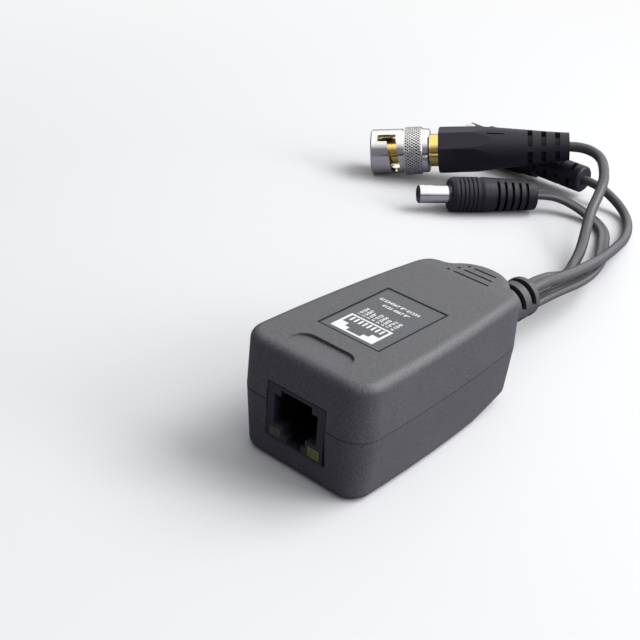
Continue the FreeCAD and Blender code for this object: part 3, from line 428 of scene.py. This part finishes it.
BNC_PLACE = plug_place(VIDEO_ROUTE[0], VIDEO_ROUTE[1], BNC_REACH)
RCA_PLACE = plug_place(AUDIO_ROUTE[-1], AUDIO_ROUTE[-2], RCA_REACH)


def plug_slots(node_name, place, **sizes):
    # the same rubber, with painted shade: blacker at the foot of the plug's slots
    slot_shade = slot_floor_shade(place.translation / MM, place.col[2].xyz, **sizes)
    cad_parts[node_name].data.materials[0] = plug_plastic(node_name + "_rubber", slot_shade)


plug_slots("bnc_moulding", BNC_PLACE, start=-38.2, end=-27.0, floor=3.12, depth=1.1, slope=0.119)
plug_slots("rca_moulding", RCA_PLACE, start=-38.6, end=-23.0, floor=2.0, depth=2.2)


def finished(obj, place, body):
    obj.matrix_world = place
    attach(obj, body)


# Diamond knurl on the bayonet nut, as real relief

KNURL_START, KNURL_LENGTH = 5.45, 5.1
KNURL_FOOT, KNURL_HEIGHT = 7.24, 0.26
KNURL_ROUND, KNURL_PITCH = 52, 1.3
KNURL_STEPS, KNURL_ROWS = 8, 40  # mesh steps in one diamond round the band, and rows along it
KNURL_FLAT, KNURL_EDGE = 1.45, 0.25  # how much of each ridge is flat, and the plain edge's width


def triangle(value):
    return 1 - abs(2 * (value % 1.0) - 1)


def knurl_band():
    columns, rows = KNURL_ROUND * KNURL_STEPS, KNURL_ROWS
    bm = bmesh.new()
    relief = bm.verts.layers.float_color.new("relief")
    grid = []
    for j in range(rows + 1):
        z = KNURL_LENGTH * j / rows
        edge = min(1.0, min(z, KNURL_LENGTH - z) / KNURL_EDGE)
        ring = []
        for i in range(columns):
            turn = i / columns
            lean = z / KNURL_PITCH
            ridge = max(triangle(turn * KNURL_ROUND + lean), triangle(turn * KNURL_ROUND - lean))
            height = 1 - (1 - min(1.0, ridge * KNURL_FLAT)) * edge
            radius = (KNURL_FOOT + KNURL_HEIGHT * height) * MM
            a = turn * math.tau
            vert = bm.verts.new((radius * math.cos(a), radius * math.sin(a), (KNURL_START + z) * MM))
            vert[relief] = (max(ridge, 1 - edge),) * 3 + (1.0,)
            ring.append(vert)
        grid.append(ring)
    for low, high in zip(grid, grid[1:]):
        for i in range(columns):
            n = (i + 1) % columns
            bm.faces.new((low[i], low[n], high[n], high[i]))
    return mesh_object("knurl_band", bm, knurl_metal, False)


finished(knurl_band(), BNC_PLACE, "bayonet_nut")


# Grip ribs on the phono plug: four ribbed panels round its tapered grip

PANEL_START, PANEL_RIBS, PANEL_PITCH = -7.6, 10, 0.95
PANEL_WIDTH, RIB_HALF, RIB_HEIGHT = 5.4, 0.3, 0.28
PANEL_COUNT, PANEL_ANGLE = 4, 24
RIB_STEPS, RIB_SLANT, RIB_ROOT = 12, 0.5, -0.1
GRIP_RADIUS, GRIP_TAPER, GRIP_STRAIGHT, GRIP_LENGTH = 5.8, 0.9, 7.0, 15.0


def grip_radius(z):
    return GRIP_RADIUS - GRIP_TAPER * max(0.0, -z - GRIP_STRAIGHT) / GRIP_LENGTH


def grip_ribs():
    bm = bmesh.new()
    for panel in range(PANEL_COUNT):
        for rib in range(PANEL_RIBS):
            z = PANEL_START - rib * PANEL_PITCH
            radius = grip_radius(z)
            half = PANEL_WIDTH / 2 / radius
            rows = []
            for k in range(RIB_STEPS + 1):
                a = math.radians(PANEL_ANGLE + 90 * panel) - half + 2 * half * k / RIB_STEPS
                tall = RIB_HEIGHT * min(1.0, 3.0 * (1 - abs(2 * k / RIB_STEPS - 1)))
                shape = ((-RIB_HALF, RIB_ROOT), (-RIB_HALF * 0.5, tall),
                         (RIB_HALF * 0.5, tall), (RIB_HALF, RIB_ROOT))
                slant = RIB_SLANT * (k / RIB_STEPS - 0.5)
                rows.append([bm.verts.new(((radius + h) * math.cos(a) * MM, (radius + h) * math.sin(a) * MM,
                                           (z + dz + slant) * MM)) for dz, h in shape])
            for low, high in zip(rows, rows[1:]):
                for m in range(4):
                    n = (m + 1) % 4
                    bm.faces.new((low[m], high[m], high[n], low[n]))
            bm.faces.new(rows[0])
            bm.faces.new(rows[-1][::-1])
    bmesh.ops.recalc_face_normals(bm, faces=bm.faces)
    return mesh_object("grip_ribs", bm, plug_rubber, False)


finished(grip_ribs(), RCA_PLACE, "balun")


# White marks on the label: the jack's outline with eight pins, and rows of plain numbers

LABEL_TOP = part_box("pin_label")[1][2]
INK_HEIGHT = 0.00002
MARK_X, MARK_REAR, MARK_FRONT, MARK_HALF = -0.35, -10.45, -17.4, 5.65
BAR_REAR, BAR_FRONT = 0.5, 0.6
# the stepped sides of the outline: how wide each step is, and where it starts and ends
SIDE_STEPS = ((0.62, -14.3, MARK_REAR - BAR_REAR), (2.45, -15.6, -14.3),
              (3.75, MARK_FRONT + BAR_FRONT, -15.6))
PINS = 8
PIN_PITCH, PIN_HALF, PIN_START, PIN_END = 1.15, 0.26, 0.8, 2.6
ROW_PITCH, ROW_SIZE, ROW_Y = 1.3, 1.1, -9.75
PRINT_WEIGHT = 0.035
OUTLINE_WIDTH, OUTLINE_LAP, OUTLINE_RISE = 0.38, 0.06, 0.00001


def plate(bm, x0, y0, x1, y1, high=LABEL_TOP + INK_HEIGHT):
    low = LABEL_TOP - INK_HEIGHT / 2
    made = bmesh.ops.create_cube(bm, size=1.0)
    for vert in made["verts"]:
        vert.co.x = (x1 if vert.co.x > 0 else x0) * MM
        vert.co.y = (y1 if vert.co.y > 0 else y0) * MM
        vert.co.z = high if vert.co.z > 0 else low


def jack_symbol():
    bm = bmesh.new()
    x0, x1 = MARK_X - MARK_HALF, MARK_X + MARK_HALF
    plate(bm, x0, MARK_REAR - BAR_REAR, x1, MARK_REAR)
    plate(bm, x0, MARK_FRONT, x1, MARK_FRONT + BAR_FRONT)
    for width, y0, y1 in SIDE_STEPS:
        plate(bm, x0, y0, x0 + width, y1)
        plate(bm, x1 - width, y0, x1, y1)
    for pin in range(PINS):
        x = MARK_X + (pin - (PINS - 1) / 2) * PIN_PITCH
        plate(bm, x - PIN_HALF, MARK_REAR - PIN_END, x + PIN_HALF, MARK_REAR - PIN_START)
    return mesh_object("label_symbol", bm, ink, False)


def printed(name, body, size, x, y, turn):
    # plain numbers, thick enough to read as print
    text = bpy.data.curves.new(name, "FONT")
    text.body = body
    text.size = size * MM
    text.offset = PRINT_WEIGHT * MM
    text.extrude = INK_HEIGHT
    text.align_y = "CENTER"
    holder = bpy.data.objects.new(name, text)
    mesh = bpy.data.meshes.new_from_object(holder)
    bpy.data.objects.remove(holder)
    obj = bpy.data.objects.new(name, mesh)
    scene.collection.objects.link(obj)
    obj.data.materials.clear()
    obj.data.materials.append(ink)
    place = Matrix.Translation((x * MM, y * MM, LABEL_TOP)) @ Matrix.Rotation(turn, 4, "Z")
    finished(obj, place, "balun")


def label_outline():
    # painted shade: the dark gap round the label, drawn as a fine near-black line
    (x0, y0, _), (x1, y1, _) = [[c / MM for c in corner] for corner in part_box("pin_label")]
    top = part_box("upper_shell")[1][2] + OUTLINE_RISE
    x0, y0, x1, y1 = x0 + OUTLINE_LAP, y0 + OUTLINE_LAP, x1 - OUTLINE_LAP, y1 - OUTLINE_LAP
    bm = bmesh.new()
    wide = OUTLINE_WIDTH
    plate(bm, x0 - wide, y0 - wide, x1 + wide, y0, top)
    plate(bm, x0 - wide, y1, x1 + wide, y1 + wide, top)
    plate(bm, x0 - wide, y0, x0, y1, top)
    plate(bm, x1, y0, x1 + wide, y1, top)
    return mesh_object("label_outline", bm, gap_shade, False)


finished(jack_symbol(), Matrix.Identity(4), "balun")
finished(label_outline(), Matrix.Identity(4), "balun")
for row in range(PINS):
    digits = "".join(str((row * 3 + k) % 10) for k in range(4 if row in (2, 5) else 5))
    printed("row_" + str(row + 1), str(row + 1) + " " + digits, ROW_SIZE,
            MARK_X + (row - (PINS - 1) / 2) * ROW_PITCH, ROW_Y, math.pi / 2)
printed("line_1", "0123 4567 89", 1.3, -4.0, -2.7, 0.0)
printed("line_2", "01234567 89 01234", 1.35, -6.4, -0.7, 0.0)


# Camera at the photograph's angle

AZIMUTH, ELEVATION, ROLL = (math.radians(a) for a in (40.156, 28.858, 4.456))
DISTANCE = 269.157
PICTURE, FOCAL = 640, 1300.0  # the picture's width and the focal length, in its pixels
SENSOR = 36.0
ANCHOR = Vector((0.0, -33.4, 1.0))  # a point at the foot of the front face, and its place in the picture
ANCHOR_PIXEL = (290.969, 472.289)
back = Vector((math.sin(AZIMUTH) * math.cos(ELEVATION), -math.cos(AZIMUTH) * math.cos(ELEVATION),
               math.sin(ELEVATION)))
level = Vector((math.cos(AZIMUTH), math.sin(AZIMUTH), 0.0))
rise = back.cross(level)
right = level * math.cos(ROLL) + rise * math.sin(ROLL)
up = rise * math.cos(ROLL) - level * math.sin(ROLL)
eye = ANCHOR + back * DISTANCE - right * (ANCHOR_PIXEL[0] - PICTURE / 2) * DISTANCE / FOCAL
eye += up * (ANCHOR_PIXEL[1] - PICTURE / 2) * DISTANCE / FOCAL
camera_data = bpy.data.cameras.new("camera")
camera_data.sensor_width = SENSOR
camera_data.lens = FOCAL / PICTURE * SENSOR
camera_data.clip_start = 0.01
camera_data.clip_end = 20.0
camera = bpy.data.objects.new("camera", camera_data)
camera.matrix_world = Matrix.Translation(eye * MM) @ Matrix((right, up, back)).transposed().to_4x4()
scene.collection.objects.link(camera)
scene.camera = camera


# Floor, light and background: the floor keeps the shadow and fades into the white far away

FLOOR_HALF = 3.0
FADE_START, FADE_END = 0.17, 0.45
FLOOR_TO_OTHERS, FLOOR_TO_CAMERA = (0.22, 0.21, 0.25, 1), (0.79, 0.79, 0.795, 1)

floor_bm = bmesh.new()
bmesh.ops.create_grid(floor_bm, x_segments=1, y_segments=1, size=FLOOR_HALF)
floor_mat, tree, shader = new_material("paper_floor")
path = tree.nodes.new("ShaderNodeLightPath")
tree.links.new(mixed(tree, path.outputs["Is Camera Ray"], FLOOR_TO_OTHERS, FLOOR_TO_CAMERA),
               shader.inputs["Base Color"])
shader.inputs["Roughness"].default_value = 0.75
shader.inputs["Specular IOR Level"].default_value = 0.0
split = tree.nodes.new("ShaderNodeSeparateXYZ")
tree.links.new(position(tree), split.inputs[0])
across, along = (maths(tree, "MULTIPLY", split.outputs[k], split.outputs[k]) for k in "XY")
reach = maths(tree, "SQRT", maths(tree, "ADD", across, along), 0.0)
fade = spread(tree, reach, FADE_START, FADE_END, 0.0, 1.0)
fade = maths(tree, "MULTIPLY", fade, path.outputs["Is Camera Ray"])
clear = tree.nodes.new("ShaderNodeBsdfTransparent")
over = tree.nodes.new("ShaderNodeMixShader")
tree.links.new(fade, over.inputs["Fac"])
tree.links.new(shader.outputs["BSDF"], over.inputs[1])
tree.links.new(clear.outputs["BSDF"], over.inputs[2])
tree.links.new(over.outputs["Shader"], tree.nodes["Material Output"].inputs["Surface"])
floor = mesh_object("floor", floor_bm, floor_mat, False)
floor.location.z = -0.00002

world = bpy.data.worlds.new("studio")
scene.world = world
world.use_nodes = True
tree = world.node_tree
tree.nodes.clear()
out = tree.nodes.new("ShaderNodeOutputWorld")
white = node(tree, "ShaderNodeBackground", Color=(0.97, 0.97, 0.975, 1), Strength=1.0)
path = tree.nodes.new("ShaderNodeLightPath")
seen = maths(tree, "MAXIMUM", path.outputs["Is Camera Ray"], path.outputs["Is Transmission Ray"])


def sky(direction, low, high, shade, light, strength):
    # a soft room: one colour toward a direction, fading to another on the side away from it
    toward = node(tree, "ShaderNodeVectorMath", operation="DOT_PRODUCT")
    tree.links.new(tree.nodes.new("ShaderNodeTexCoord").outputs["Generated"], toward.inputs[0])
    toward.inputs[1].default_value = Vector(direction).normalized()
    made = node(tree, "ShaderNodeBackground", Strength=strength)
    fade = spread(tree, toward.outputs["Value"], low, high, 0.0, 1.0)
    tree.links.new(mixed(tree, fade, shade, light), made.inputs["Color"])
    return made


ambient = sky((0.52, 0.5, 0.69), -0.33, 0.75, (0.035, 0.029, 0.05, 1), (0.96, 0.98, 1, 1), 0.82)
room = sky((0.25, 0.45, 0.8), 0.17, 0.53, (0.16, 0.15, 0.18, 1), (1, 1, 1, 1), 1.1)
glossy = tree.nodes.new("ShaderNodeMixShader")
tree.links.new(path.outputs["Is Glossy Ray"], glossy.inputs["Fac"])
tree.links.new(ambient.outputs["Background"], glossy.inputs[1])
tree.links.new(room.outputs["Background"], glossy.inputs[2])
blend = tree.nodes.new("ShaderNodeMixShader")
tree.links.new(seen, blend.inputs["Fac"])
tree.links.new(glossy.outputs["Shader"], blend.inputs[1])
tree.links.new(white.outputs["Background"], blend.inputs[2])
tree.links.new(blend.outputs["Shader"], out.inputs["Surface"])


def area_light(name, place, target, size, power_w):
    data = bpy.data.lights.new(name, "AREA")
    data.shape = "SQUARE"
    data.size = size
    data.energy = power_w
    obj = bpy.data.objects.new(name, data)
    obj.location = place
    aim = Vector(target) - Vector(place)
    obj.rotation_mode = "QUATERNION"
    obj.rotation_quaternion = aim.to_track_quat("-Z", "Y")
    scene.collection.objects.link(obj)


area_light("key", (0.385, 0.6, 0.825), (-0.02, 0.06, 0.0), 0.675, 8.1)
area_light("side", (0.895, 0.435, 0.445), (0.01, 0.03, 0.01), 0.525, 4.95)

scene.view_settings.view_transform = "Standard"
